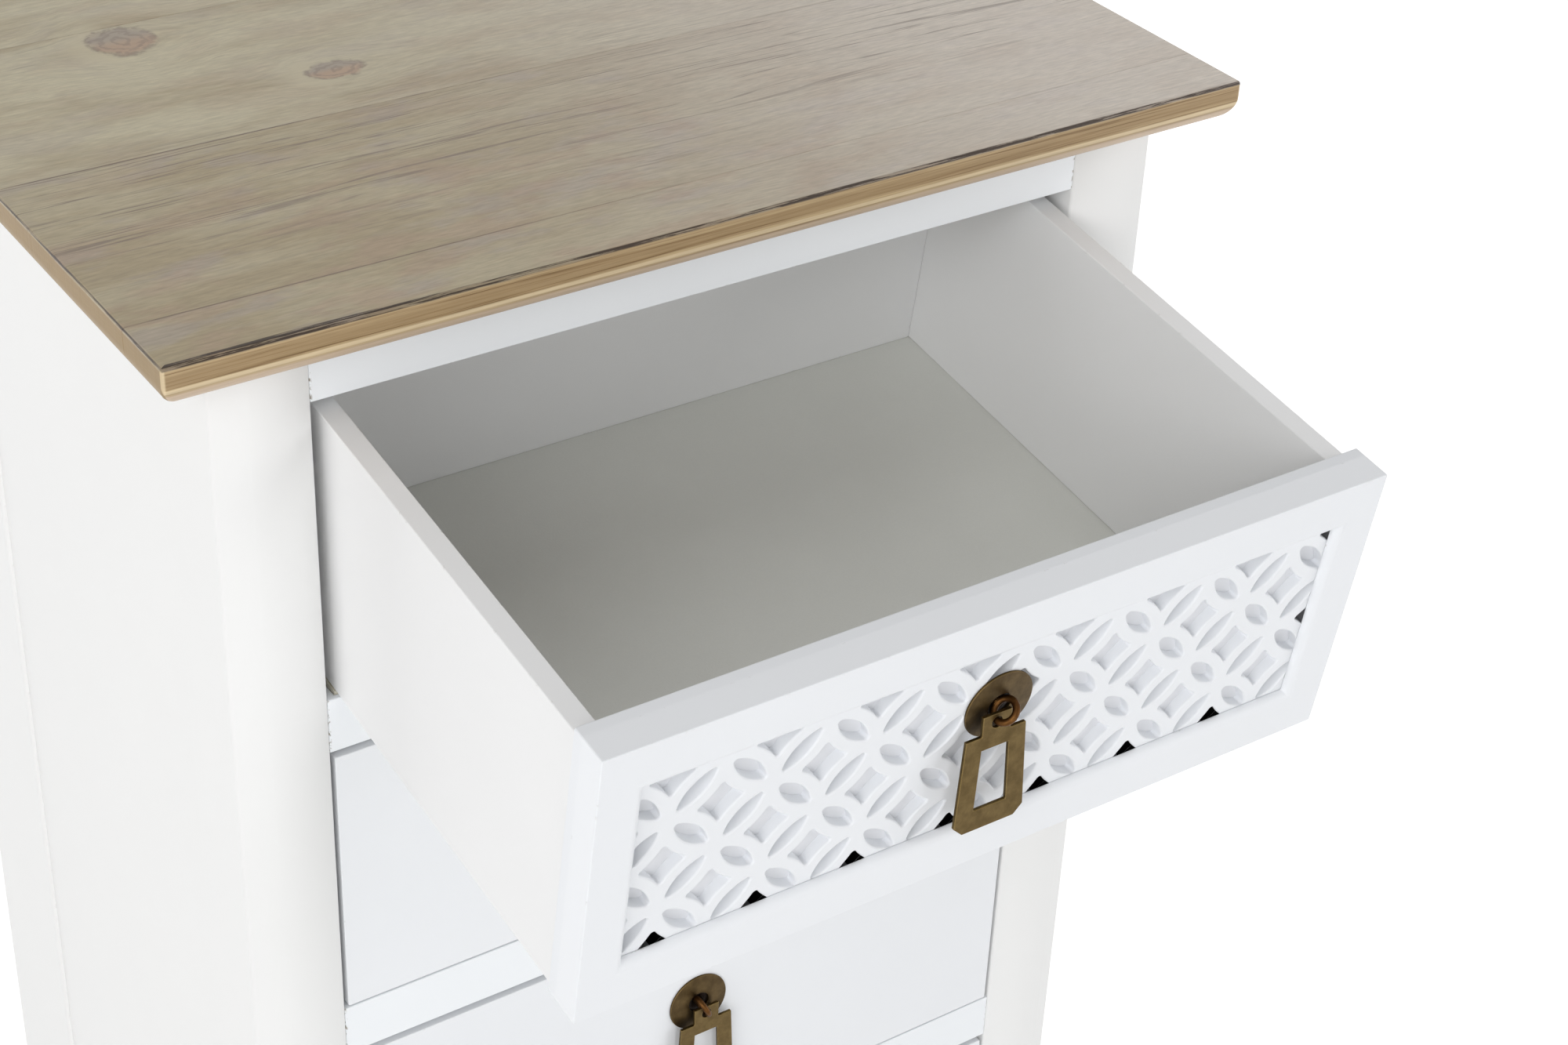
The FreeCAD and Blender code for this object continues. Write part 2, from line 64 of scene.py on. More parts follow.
def colour(red, green, blue):
    """A colour in the eight-bit numbers of a paint chart, as the linear light that a shader takes."""
    linear = []
    for part in (red, green, blue):
        share = part / 255
        linear.append(share / 12.92 if share <= 0.04045 else ((share + 0.055) / 1.055) ** 2.4)
    return (*linear, 1.0)


def feed(tree, socket, value):
    """Links a socket to another node's output, or sets it at a constant."""
    if isinstance(value, bpy.types.NodeSocket):
        tree.links.new(value, socket)
    else:
        socket.default_value = value


def add(tree, kind, sockets=None, **settings):
    """A shader node with its settings made and its sockets fed."""
    node = tree.nodes.new("ShaderNode" + kind)
    for name, value in settings.items():
        setattr(node, name, value)
    for name, value in (sockets or {}).items():
        feed(tree, node.inputs[name], value)
    return node


def maths(tree, operation, *values):
    """The result of one arithmetic node."""
    return add(tree, "Math", dict(enumerate(values)), operation=operation).outputs[0]


def between(tree, value, low, high, start=0.0, end=1.0):
    """A value eased from start to end while it goes from low to high."""
    sockets = {"Value": value, "From Min": low, "From Max": high, "To Min": start, "To Max": end}
    return add(tree, "MapRange", sockets, interpolation_type="SMOOTHSTEP").outputs[0]


def product(tree, *masks):
    """Several masks multiplied together."""
    result = masks[0]
    for mask in masks[1:]:
        result = maths(tree, "MULTIPLY", result, mask)
    return result


def mixed(tree, share, first, second, blend="MIX"):
    """Two colours mixed by a share. The node's sockets 6 and 7 are its two colours."""
    sockets = {0: share, 6: first, 7: second}
    return add(tree, "Mix", sockets, data_type="RGBA", blend_type=blend).outputs[2]


def shaded(tree, tone, share, low, high):
    """A colour dimmed or lifted by a mask, from the level low to the level high."""
    level = maths(tree, "MULTIPLY_ADD", share, high - low, low)
    grey = add(tree, "CombineColor", {0: level, 1: level, 2: level}).outputs[0]
    return mixed(tree, 1.0, tone, grey, "MULTIPLY")


def speckle(tree, place, scale, detail=3.0, roughness=0.55):
    """Smooth noise from 0 to 1, with its own scale along each axis."""
    scaled = add(tree, "VectorMath", {0: place, 1: scale}, operation="MULTIPLY").outputs[0]
    sockets = {"Vector": scaled, "Scale": 1.0, "Detail": detail, "Roughness": roughness}
    return add(tree, "TexNoise", sockets).outputs["Fac"]


def dot(tree, first, second):
    """How far one vector goes along another."""
    return add(tree, "VectorMath", {0: first, 1: second}, operation="DOT_PRODUCT").outputs["Value"]


def object_place(tree):
    """Where a point lies in the chest, in metres."""
    return add(tree, "TexCoord").outputs["Object"]


def new_group(name, inputs, outputs):
    """An empty node group, with the sockets it takes and the sockets it gives."""
    tree = bpy.data.node_groups.new(name, "ShaderNodeTree")
    for label, kind, start in inputs:
        socket = tree.interface.new_socket(label, in_out="INPUT", socket_type="NodeSocket" + kind)
        socket.default_value = start
    for label, kind in outputs:
        tree.interface.new_socket(label, in_out="OUTPUT", socket_type="NodeSocket" + kind)
    taken = tree.nodes.new("NodeGroupInput").outputs
    given = tree.nodes.new("NodeGroupOutput").inputs
    return tree, taken, given


def new_material(name):
    """A material, its node tree and its surface shader."""
    material = bpy.data.materials.new(name)
    material.use_nodes = True
    return material, material.node_tree, material.node_tree.nodes["Principled BSDF"]


def relief(tree, shader, height, depth, strength=1.0):
    """Turns a height into the small relief of a surface, depth metres deep."""
    bump = add(tree, "Bump", {"Height": height, "Distance": depth, "Strength": strength})
    tree.links.new(bump.outputs["Normal"], shader.inputs["Normal"])


def edge_rub_group():
    """A mask that is 1 on the edges of a piece and fades out over a small radius."""
    tree, taken, given = new_group("edge_rub", [("Radius", "Float", 0.001)], [("Mask", "Float")])
    rounded = add(tree, "Bevel", {"Radius": taken["Radius"]}, samples=4).outputs[0]
    true_normal = add(tree, "NewGeometry").outputs["Normal"]
    feed(tree, given["Mask"], between(tree, dot(tree, rounded, true_normal), 0.995, 0.86))
    return tree


def paint_film_group():
    """Sprayed paint: faint clouds, dimples from the spray, and chips to the undercoat at the edges."""
    inputs = [
        ("Paint", "Color", (1, 1, 1, 1)),
        ("Undercoat", "Color", (0, 0, 0, 1)),
        ("Wear", "Float", 0.5),
    ]
    outputs = [("Color", "Color"), ("Roughness", "Float"), ("Height", "Float")]
    tree, taken, given = new_group("paint_film", inputs, outputs)
    place = object_place(tree)
    clouds = speckle(tree, place, (9, 9, 9))
    dimples = speckle(tree, place, (900, 900, 900), 1.0)
    flecks = between(tree, speckle(tree, place, (210, 210, 210), 4.0, 0.65), 0.60, 0.68)
    edge = add(tree, "Group", {"Radius": chip_reach}, node_tree=edge_rub).outputs["Mask"]
    chips = product(tree, edge, flecks, taken["Wear"])
    toned = shaded(tree, taken["Paint"], clouds, 0.955, 1.005)
    feed(tree, given["Color"], mixed(tree, chips, toned, taken["Undercoat"]))
    satin = maths(tree, "MULTIPLY_ADD", clouds, 0.12, 0.40)
    feed(tree, given["Roughness"], maths(tree, "MULTIPLY_ADD", chips, 0.3, satin))
    low_dimples = maths(tree, "MULTIPLY", dimples, 0.35)
    feed(tree, given["Height"], maths(tree, "SUBTRACT", low_dimples, chips))
    return tree


edge_rub = edge_rub_group()
paint_film = paint_film_group()
white = colour(243, 243, 242)
undercoat = colour(150, 141, 128)


def sprayed(tree, paint, wear):
    """The film of paint in one material, chipped at the edges by as much as the wear says."""
    sockets = {"Paint": paint, "Undercoat": undercoat, "Wear": wear}
    return add(tree, "Group", sockets, node_tree=paint_film).outputs


def painted(name, paint, wear):
    """White spray paint over wood."""
    material, tree, shader = new_material(name)
    film = sprayed(tree, paint, wear)
    feed(tree, shader.inputs["Base Color"], film["Color"])
    feed(tree, shader.inputs["Roughness"], film["Roughness"])
    relief(tree, shader, film["Height"], paint_relief, 0.5)
    return material


def is_sharp(edge):
    """Do the two faces of this edge meet at an angle that the eye sees?"""
    return len(edge.link_faces) == 2 and edge.calc_face_angle() > sharp_angle


def eased_copy(node, body, name, material, ease, is_eased):
    """A copy of a painted piece with only some of its edges eased, so its joints stay tight."""
    work = bmesh.new()
    work.from_mesh(frame["nodes"][node].data)
    bmesh.ops.remove_doubles(work, verts=work.verts, dist=same_point)
    bmesh.ops.dissolve_limit(work, angle_limit=flat_angle, verts=work.verts, edges=work.edges)
    eased = [edge for edge in work.edges if is_sharp(edge) and is_eased(edge)]
    bmesh.ops.bevel(work, geom=eased, offset=ease, segments=rim_steps, profile=0.5,
                    affect="EDGES", clamp_overlap=False)
    for face in work.faces:
        face.smooth = True
    for edge in work.edges:
        edge.smooth = not is_sharp(edge)
    mesh = bpy.data.meshes.new(name)
    work.to_mesh(mesh)
    work.free()
    mesh.materials.append(material)
    piece = bpy.data.objects.new(name, mesh)
    bpy.context.scene.collection.objects.link(piece)
    shading = piece.modifiers.new("even_shading", "WEIGHTED_NORMAL")
    shading.keep_sharp = True
    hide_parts(node)
    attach(piece, body)


groove_wall, groove_mouth = sorted(abs(corner.x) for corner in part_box("side_panel_left"))


def off_panel_groove(edge):
    """Is this edge clear of the groove that holds the side panel?"""
    sides = [abs(corner.co.x) for corner in edge.verts]
    return min(sides) < groove_wall - touching or max(sides) > groove_mouth + touching


post_paint = painted("post_paint", white, post_wear)
for name in post_names:
    eased_copy(name, "case", "eased_" + name, post_paint, post_ease, off_panel_groove)

# Five rails across the front, hardwood strips tenoned between the posts: one above the drawers and
# one under each. Their paint cracks and flakes a little along the joints with the posts.
rail_ease = 0.0006
rail_wear = 0.5
# The rails' white is a little brighter than the fronts' white: painted light that offsets the shade
# under the top's overhang.
rail_lit_white = colour(246, 249, 252)
rail_names = ["top_rail", "divider_rail_1", "divider_rail_2", "divider_rail_3", "bottom_rail"]
joint_width = 0.0012
flake_depth = 0.00008


def rail_paint():
    """The white paint, a little brightened as painted light, with grey specks where a rail's end meets
    its post.
    """
    material, tree, shader = new_material("rail_paint")
    film = sprayed(tree, rail_lit_white, rail_wear)
    place = object_place(tree)
    along = add(tree, "SeparateXYZ", {0: place}).outputs[0]
    rail_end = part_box("front_post_right")[0].x
    to_joint = maths(tree, "SUBTRACT", rail_end, maths(tree, "ABSOLUTE", along))
    near = between(tree, to_joint, joint_width, 0.0)
    specks = between(tree, speckle(tree, place, (500, 500, 420), 2.0), 0.52, 0.62)
    flaked = maths(tree, "MULTIPLY", near, specks)
    feed(tree, shader.inputs["Base Color"], mixed(tree, flaked, film["Color"], undercoat))
    feed(tree, shader.inputs["Roughness"], film["Roughness"])
    relief(tree, shader, maths(tree, "SUBTRACT", film["Height"], flaked), flake_depth, 0.6)
    return material


def cover(name, material):
    """Gives a piece of the chest its finish."""
    for slot in frame["nodes"][name].material_slots:
        slot.material = material


def soften(name, ease):
    """Eases the sharp edges of a piece, as sanding and paint do, without moving its faces."""
    piece = frame["nodes"][name]
    weld = piece.modifiers.new("one_skin", "WELD")
    weld.merge_threshold = same_point
    flat = piece.modifiers.new("flat_faces", "DECIMATE")
    flat.decimate_type = "DISSOLVE"
    flat.angle_limit = flat_angle
    bevel = piece.modifiers.new("eased_edges", "BEVEL")
    bevel.width = ease
    bevel.segments = rim_steps
    bevel.limit_method = "ANGLE"
    bevel.angle_limit = sharp_angle
    bevel.use_clamp_overlap = False
    shading = piece.modifiers.new("even_shading", "WEIGHTED_NORMAL")
    shading.keep_sharp = False


def dress(names, material, ease):
    """Gives pieces of the chest their finish and their eased edges."""
    for name in names:
        cover(name, material)
        soften(name, ease)


dress(rail_names, rail_paint(), rail_ease)

# Two side panels, boards of pressed fibre let in a little behind the faces of the posts and painted
# with the case. Their edges are square and sit tight in the posts, so the paint covers the joint.
panel_wear = 0.0
panel_paint = painted("panel_paint", white, panel_wear)
cover("side_panel_left", panel_paint)
cover("side_panel_right", panel_paint)

# The back: a thin hardboard sheet with a painted white face, pinned to two pine rails at the rear.
# The sheet is rolled, so its face is flat and faintly grained, and the rails are left bare.
back_ease = 0.0004
back_wear = 0.4
back_rail_ease = 0.0006
pine_relief = 0.0002
back_white = colour(228, 226, 220)
pine_pale = colour(214, 186, 142)
pine_dark = colour(172, 134, 88)


def wood_fibre_group():
    """Straight grain: broad growth bands, fine fibres and short dark streaks in one direction."""
    inputs = [
        ("Place", "Vector", (0, 0, 0)),
        ("Bands", "Vector", (1, 1, 1)),
        ("Fibres", "Vector", (1, 1, 1)),
    ]
    outputs = [("Bands", "Float"), ("Fibres", "Float"), ("Streaks", "Float")]
    tree, taken, given = new_group("wood_fibre", inputs, outputs)
    feed(tree, given["Bands"], speckle(tree, taken["Place"], taken["Bands"], 2.0))
    fibres = speckle(tree, taken["Place"], taken["Fibres"], 4.0, 0.65)
    feed(tree, given["Fibres"], fibres)
    feed(tree, given["Streaks"], between(tree, fibres, 0.62, 0.72))
    return tree


wood_fibre = wood_fibre_group()


def bare_wood(name, along):
    """Planed pine with no finish, its grain along one axis of the chest."""
    material, tree, shader = new_material(name)
    bands = [4.0 if axis == along else 160.0 for axis in range(3)]
    fibres = [14.0 if axis == along else 900.0 for axis in range(3)]
    sockets = {"Place": object_place(tree), "Bands": bands, "Fibres": fibres}
    grain = add(tree, "Group", sockets, node_tree=wood_fibre).outputs
    share = maths(tree, "MULTIPLY_ADD", grain["Fibres"], 0.45, grain["Bands"])
    toned = mixed(tree, between(tree, share, 0.45, 1.0), pine_pale, pine_dark)
    feed(tree, shader.inputs["Base Color"], toned)
    feed(tree, shader.inputs["Roughness"], maths(tree, "MULTIPLY_ADD", grain["Fibres"], 0.2, 0.5))
    relief(tree, shader, grain["Fibres"], pine_relief, 0.4)
    return material


across_pine = bare_wood("pine_across", 0)
deep_pine = bare_wood("pine_deep", 1)
dress(["back_panel"], painted("back_paint", back_white, back_wear), back_ease)
dress(["back_rails"], across_pine, back_rail_ease)

# The runners that carry the drawers and guide them at each side, and the stop blocks on the rails.
# They are planed pine strips, glued and pinned inside the case and never painted.
runner_ease = 0.0005
dress(["drawer_runners", "drawer_stops"], deep_pine, runner_ease)

# Nylon glides let into the rails under the drawer sides, moulded and a little cloudy.
# The pair under the top drawer rocks, so that the drawer tips forward as it comes out.
glide_ease = 0.0002
scuff_depth = 0.0001
glide_white = colour(222, 220, 210)
nylon_yellow = colour(236, 226, 200)


def nylon(name, tone):
    """Moulded nylon, cloudy and scuffed."""
    material, tree, shader = new_material(name)
    place = object_place(tree)
    cloud = speckle(tree, place, (160, 160, 160))
    scuffs = speckle(tree, place, (1400, 300, 1400), 4.0, 0.7)
    yellowed = mixed(tree, 1.0, tone, nylon_yellow, "MULTIPLY")
    feed(tree, shader.inputs["Base Color"], mixed(tree, cloud, tone, yellowed))
    feed(tree, shader.inputs["Roughness"], maths(tree, "MULTIPLY_ADD", scuffs, 0.3, 0.3))
    shader.inputs["Subsurface Weight"].default_value = 0.2
    shader.inputs["Subsurface Radius"].default_value = (0.002, 0.002, 0.0015)
    relief(tree, shader, scuffs, scuff_depth, 0.3)
    return material


dress(["fixed_glides", "rocking_glides"], nylon("glide_nylon", glide_white), glide_ease)

# Three plain drawers: a solid front, two sides, a back, and a thin bottom slid into grooves.
# The fronts are sprayed with the case, the boxes have a thinner coat, the bottoms a grey lining.
front_ease = 0.0008
front_wear = 0.35
box_ease = 0.0006
box_wear = 0.9
lining_ease = 0.0003
lining_relief = 0.0001
front_white = colour(241, 243, 246)
box_white = colour(241, 241, 241)
lining_grey = colour(232, 233, 228)
lining_shade = colour(236, 236, 234)
box_parts = ["side_left", "side_right", "back"]
front_paint = painted("front_paint", front_white, front_wear)
box_paint = painted("box_paint", box_white, box_wear)


def lining():
    """A thin board with a printed light grey face, matt and very finely grained."""
    material, tree, shader = new_material("lining")
    place = object_place(tree)
    clouds = speckle(tree, place, (14, 14, 14))
    tooth = speckle(tree, place, (1500, 1100, 1500), 2.0)
    share = maths(tree, "MULTIPLY_ADD", tooth, 0.4, maths(tree, "MULTIPLY", clouds, 0.6))
    darker = mixed(tree, 1.0, lining_grey, lining_shade, "MULTIPLY")
    feed(tree, shader.inputs["Base Color"], mixed(tree, share, darker, lining_grey))
    feed(tree, shader.inputs["Roughness"], maths(tree, "MULTIPLY_ADD", tooth, 0.2, 0.5))
    relief(tree, shader, tooth, lining_relief, 0.5)
    return material


lining_board = lining()
for drawer in (2, 3, 4):
    dress([f"drawer_{drawer}_front"], front_paint, front_ease)
    dress([f"drawer_{drawer}_{part}" for part in box_parts], box_paint, box_ease)
    dress([f"drawer_{drawer}_bottom"], lining_board, lining_ease)

# The box of the top drawer, made as the others are, and the board glued behind its pierced front.
# The face of that board behind the fretwork is painted near black as painted shade, so the holes that
# go right through look black.
board_wear = 0.0
shade_black = colour(9, 6, 7)
shade_black_fleck = colour(20, 15, 16)
dress([f"drawer_1_{part}" for part in box_parts], box_paint, box_ease)
dress(["drawer_1_bottom"], lining_board, lining_ease)


def joint(name):
    """The record of one joint of the chest."""
    return next(entry for entry in frame["joints"] if entry["name"] == name)


top_drawer_outward = Vector(joint("drawer_1_slide")["axis"])


def hidden_board():
    """White paint all round, but painted shade in near black on the face behind the fretwork."""
    material, tree, shader = new_material("hidden_board")
    film = sprayed(tree, front_white, board_wear)
    shade_mottle = speckle(tree, object_place(tree), (900, 900, 900), 4.0, 0.7)
    normal = add(tree, "TexCoord").outputs["Normal"]
    # The face that looks out through the fretwork gets the painted shade.
    shade_share = between(tree, dot(tree, normal, top_drawer_outward), 0.80, 0.90)
    painted_shade = mixed(tree, shade_mottle, shade_black, shade_black_fleck)
    feed(tree, shader.inputs["Base Color"], mixed(tree, shade_share, film["Color"], painted_shade))
    feed(tree, shader.inputs["Roughness"], maths(tree, "MULTIPLY_ADD", shade_share, 0.4, film["Roughness"]))
    shader.inputs["Specular IOR Level"].default_value = 0.05
    relief(tree, shader, film["Height"], paint_relief, 0.5)
    return material


# The front of the top drawer: a frame with a rounded inner rim, and behind it a sheet of fretwork
# cut as interlaced rings and a white backing sheet. Thick paint has rounded the rims of the holes,
# and it hides the glue line between the frame and the hidden board.
stile = 0.0187
rail = 0.0215
frame_ease = 0.0007
hole_ease = 0.0009
tip_pitch = 0.0426
tip_place = 0.0306
tip_half = 0.0085
tip_height = 0.0065
tip_blur = 0.0005
backing_ease = 0.0001
backing_wear = 0.2
fretwork_wear = 0.1
# The backing's white is a little greyer than the fronts' white: painted shade on the floors of the
# holes.
backing_shaded_white = colour(236, 237, 240)
top_drawer_upward = Vector((0, top_drawer_outward.z, -top_drawer_outward.y))
backing_paint = painted("backing_paint", backing_shaded_white, backing_wear)
fretwork_paint = painted("fretwork_paint", front_white, fretwork_wear)
dress(["drawer_1_fretwork_backing"], backing_paint, backing_ease)


def reach(node, direction):
    """How far back and how far on a piece goes in a direction."""
    along = [corner.co.dot(direction) for corner in frame["nodes"][node].data.vertices]
    return min(along), max(along)


glue_plane = reach("drawer_1_front_frame", top_drawer_outward)[0]
window_base, window_top = reach("drawer_1_front_frame", top_drawer_upward)
window_half = reach("drawer_1_front_frame", Vector((1, 0, 0)))[1] - stile


def shade_tips(material):
    """Paints the cut walls dark, as painted shade, where the holes at the foot of the window go right
    through.
    """
    tree = material.node_tree
    base = tree.nodes["Principled BSDF"].inputs["Base Color"]
    place = object_place(tree)
    normal = add(tree, "TexCoord").outputs["Normal"]
    facing = dot(tree, normal, top_drawer_outward)
    wall = between(tree, maths(tree, "ABSOLUTE", facing), 0.60, 0.35)
    height = dot(tree, place, top_drawer_upward)
    rise = maths(tree, "SUBTRACT", height, window_base + rail)
    low = between(tree, rise, tip_height + tip_blur, tip_height)
    x = add(tree, "SeparateXYZ", {0: place}).outputs[0]
    from_tip = maths(tree, "SUBTRACT", x, tip_place)
    across = maths(tree, "ABSOLUTE", maths(tree, "WRAP", from_tip, tip_pitch / 2, -tip_pitch / 2))
    beside = between(tree, maths(tree, "ADD", across, rise), tip_half + tip_blur, tip_half)
    # Painted shade on the walls of the holes that go right through.
    shade_share = product(tree, wall, low, beside)
    feed(tree, base, mixed(tree, shade_share, base.links[0].from_socket, shade_black))


shade_tips(fretwork_paint)
shade_tips(backing_paint)


def off_glue_plane(edge):
    """Is this edge clear of the glue line between the frame and the hidden board?"""
    depths = [corner.co.dot(top_drawer_outward) for corner in edge.verts]
    return any(abs(depth - glue_plane) > touching for depth in depths)


def is_hole_rim(edge):
    """Is this edge the rim of a hole, on the face of the sheet and inside the frame's window?"""
    on_face = max(face.normal.dot(top_drawer_outward) for face in edge.link_faces) > 0.99
    heights = [corner.co.dot(top_drawer_upward) for corner in edge.verts]
    above_base = min(heights) > window_base + rail - hole_ease
    under_head = max(heights) < window_top - rail + hole_ease
    in_width = all(abs(corner.co.x) < window_half + hole_ease for corner in edge.verts)
    return on_face and above_base and under_head and in_width


eased_copy("drawer_1_front_frame", "drawer_1", "pierced_front_frame", front_paint, frame_ease,
           off_glue_plane)
eased_copy("drawer_1_front_board", "drawer_1", "hidden_board", hidden_board(), frame_ease,
           off_glue_plane)
eased_copy("drawer_1_fretwork", "drawer_1", "fretwork_panel", fretwork_paint, hole_ease, is_hole_rim)

# The pulls: a round brass rosette against the drawer front, a bronze split pin through it, and a
# flat brass pendant that hangs from the ring of the pin. The brass is darkened and then rubbed.
pull_ease = 0.0003
pull_rubbed = 0.9
pin_ease = 0.0002
pin_rubbed = 0.7
rub_reach = 0.0006
metal_relief = 0.00003
brass_rubbed = colour(152, 130, 86)
brass_dark = colour(84, 68, 38)
rosette_rubbed = colour(138, 116, 78)
rosette_dark = colour(68, 54, 32)
bronze_rubbed = colour(148, 108, 60)
bronze_dark = colour(70, 44, 22)
# Painted shade in the bores, seen through the rings of the pulls.
bore_shade = colour(34, 24, 18)
bore_shade_reach = 0.0095
bore_shade_blur = 0.002


def patina_group():
    """Darkened metal: blotches of tarnish, fine scratches, and bright edges where hands rub it."""
    inputs = [
        ("Bright", "Color", (1, 1, 1, 1)),
        ("Tarnish", "Color", (0, 0, 0, 1)),
        ("Rubbed", "Float", 0.5),
    ]
    outputs = [("Color", "Color"), ("Roughness", "Float"), ("Height", "Float")]
    tree, taken, given = new_group("patina", inputs, outputs)
    place = object_place(tree)
    blotches = speckle(tree, place, (190, 190, 190), 5.0, 0.65)
    scratches = speckle(tree, place, (2600, 2600, 260), 2.0)
    edge = add(tree, "Group", {"Radius": rub_reach}, node_tree=edge_rub).outputs["Mask"]
    worn = maths(tree, "MULTIPLY", edge, taken["Rubbed"])
    bright = maths(tree, "MAXIMUM", between(tree, blotches, 0.25, 0.85, 0.0, 0.3), worn)
    feed(tree, given["Color"], mixed(tree, bright, taken["Tarnish"], taken["Bright"]))
    dull = maths(tree, "MULTIPLY_ADD", blotches, -0.15, 0.45)
    feed(tree, given["Roughness"], maths(tree, "MULTIPLY_ADD", scratches, 0.12, dull))
    low_blotches = maths(tree, "MULTIPLY", blotches, 0.5)
    feed(tree, given["Height"], maths(tree, "ADD", low_blotches, scratches))
    return tree


patina = patina_group()


def old_metal(name, bright, tarnish, rubbed):
    """A metal piece with its patina."""
    material, tree, shader = new_material(name)
    sockets = {"Bright": bright, "Tarnish": tarnish, "Rubbed": rubbed}
    skin = add(tree, "Group", sockets, node_tree=patina).outputs
    feed(tree, shader.inputs["Base Color"], skin["Color"])
    feed(tree, shader.inputs["Roughness"], skin["Roughness"])
    shader.inputs["Metallic"].default_value = 1.0
    relief(tree, shader, skin["Height"], metal_relief, 0.4)
    return material


antique_brass = old_metal("antique_brass", brass_rubbed, brass_dark, pull_rubbed)
shaded_brass = old_metal("shaded_brass", rosette_rubbed, rosette_dark, pull_rubbed)
antique_bronze = old_metal("antique_bronze", bronze_rubbed, bronze_dark, pin_rubbed)
for drawer in (1, 2, 3, 4):
    dress([f"drawer_{drawer}_rosette"], shaded_brass, pull_ease)
    dress([f"drawer_{drawer}_pendant"], antique_brass, pull_ease)
    dress([f"drawer_{drawer}_split_pin"], antique_bronze, pin_ease)


def shade_bores(material, axis, drawers):
    """Darkens a front around the bores for the pins: painted shade, seen through the ring of each
    pull.
    """
    tree = material.node_tree
    base = tree.nodes["Principled BSDF"].inputs["Base Color"]
    surface = base.links[0].from_socket
    place = object_place(tree)
    for drawer in drawers:
        low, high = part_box(f"drawer_{drawer}_rosette")
        middle = (low + high) / 2
        offset = add(tree, "VectorMath", {0: place, 1: middle}, operation="SUBTRACT").outputs[0]
        across = add(tree, "VectorMath", {0: offset, 1: axis}, operation="CROSS_PRODUCT").outputs[0]
        far = add(tree, "VectorMath", {0: across}, operation="LENGTH").outputs["Value"]
        bore_shaded = between(tree, far, bore_shade_reach, bore_shade_reach - bore_shade_blur)
        surface = mixed(tree, bore_shaded, surface, bore_shade)
    feed(tree, base, surface)


shade_bores(front_paint, Vector((0, -1, 0)), (2, 3, 4))
shade_bores(fretwork_paint, top_drawer_outward, (1,))
shade_bores(backing_paint, top_drawer_outward, (1,))

# Two pine cleats screwed inside the head of the case, and the six steel screws that go up through
# them into the planks of the top. They are plain and are seen only from below.
cleat_ease = 0.0006
screw_ease = 0.0002
screw_rubbed = 0.5
steel_bright = colour(196, 198, 200)
steel_dull = colour(128, 130, 132)
zinc_steel = old_metal("zinc_steel", steel_bright, steel_dull, screw_rubbed)
dress(["top_cleats"], deep_pine, cleat_ease)
dress(["top_screws"], zinc_steel, screw_ease)

# The top: four pine planks edge-glued into one board, stained weathered grey and sanded through at
# the rim, where the honey colour of the wood shows under a dark broken line. Two knots show.
plank_names = ["top_plank_1", "top_plank_2", "top_plank_3", "top_plank_4"]
plank_ease = 0.0002
fibre_relief = 0.00015
weathered_light = colour(200, 191, 163)
weathered_brown = colour(170, 155, 124)
# The violet is both patches of the stain and, with the pale, a painted sheen towards the right end of
# the top.
weathered_and_sheen_violet = colour(171, 159, 148)
sheen_pale = colour(226, 217, 208)
weathered_pink = colour(173, 149, 128)
latewood = colour(118, 104, 94)
rim_dark = colour(42, 30, 24)
rim_grey = colour(104, 86, 70)
honey_light = colour(190, 166, 128)
honey_brown = colour(144, 117, 81)
honey_streak = colour(104, 80, 52)
honey_pale = colour(226, 206, 170)
# The underside is a lighter honey than the front: painted light that offsets the shade under the
# round.
honey_under_lit = colour(206, 184, 160)
end_grain = colour(146, 121, 78)
knot_red = colour(178, 147, 125)
knot_violet = colour(158, 145, 135)
knot_core = colour(110, 94, 88)
knot_halo = colour(204, 194, 166)
# Each knot is the place of its heart, then half its length and half its width.
knots = [(-0.145, 0.081, 0.0135, 0.0140), (-0.081, 0.0145, 0.0125, 0.0080)]
top_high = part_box("top_plank_4")[1]
glue_lines = [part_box(name)[0].y for name in plank_names[1:]]
glue_strengths = [0.7, 0.85, 0.25]


def mixed_value(tree, share, first, second):
    """Two numbers mixed by a share. The node's sockets 2 and 3 are its two numbers."""
    return add(tree, "Mix", {0: share, 2: first, 3: second}).outputs[0]


def band(tree, value, start, full, fade, end):
    """A mask that rises from start to full and falls again from fade to end."""
    return product(tree, between(tree, value, start, full), between(tree, value, end, fade))


def knot_reach(tree, x, y, wobble, knot):
    """How far a point is from the heart of a knot, where 1 is the outline of the knot."""
    knot_x, knot_y, half_long, half_wide = knot
    off_x = maths(tree, "DIVIDE", maths(tree, "SUBTRACT", x, knot_x), half_long)
    off_y = maths(tree, "DIVIDE", maths(tree, "SUBTRACT", y, knot_y), half_wide)
    square = maths(tree, "MULTIPLY_ADD", off_x, off_x, maths(tree, "MULTIPLY", off_y, off_y))
    return off_x, off_y, maths(tree, "ADD", maths(tree, "SQRT", square), wobble)


# How the grain wavers and shifts from plank to plank, and where the tones of the flat begin and end.
plank_shift = 0.43
plank_blur = 0.0005
grain_waver = 0.014
# Where the painted sheen of violet and pale towards the right end begins and is full.
violet_sheen_from, violet_sheen_full = -0.16, 0.20
sheen_from, sheen_full = -0.10, 0.24
pink_from, pink_full = -0.050, -0.095
pink_right, pink_left = 0.16, -0.06
streaked_from, streaked_full = -0.115, -0.080
streaked_blur = 0.001
seam_half, seam_core = 0.0007, 0.0002
seam_faint, seam_clear = 0.02, -0.12


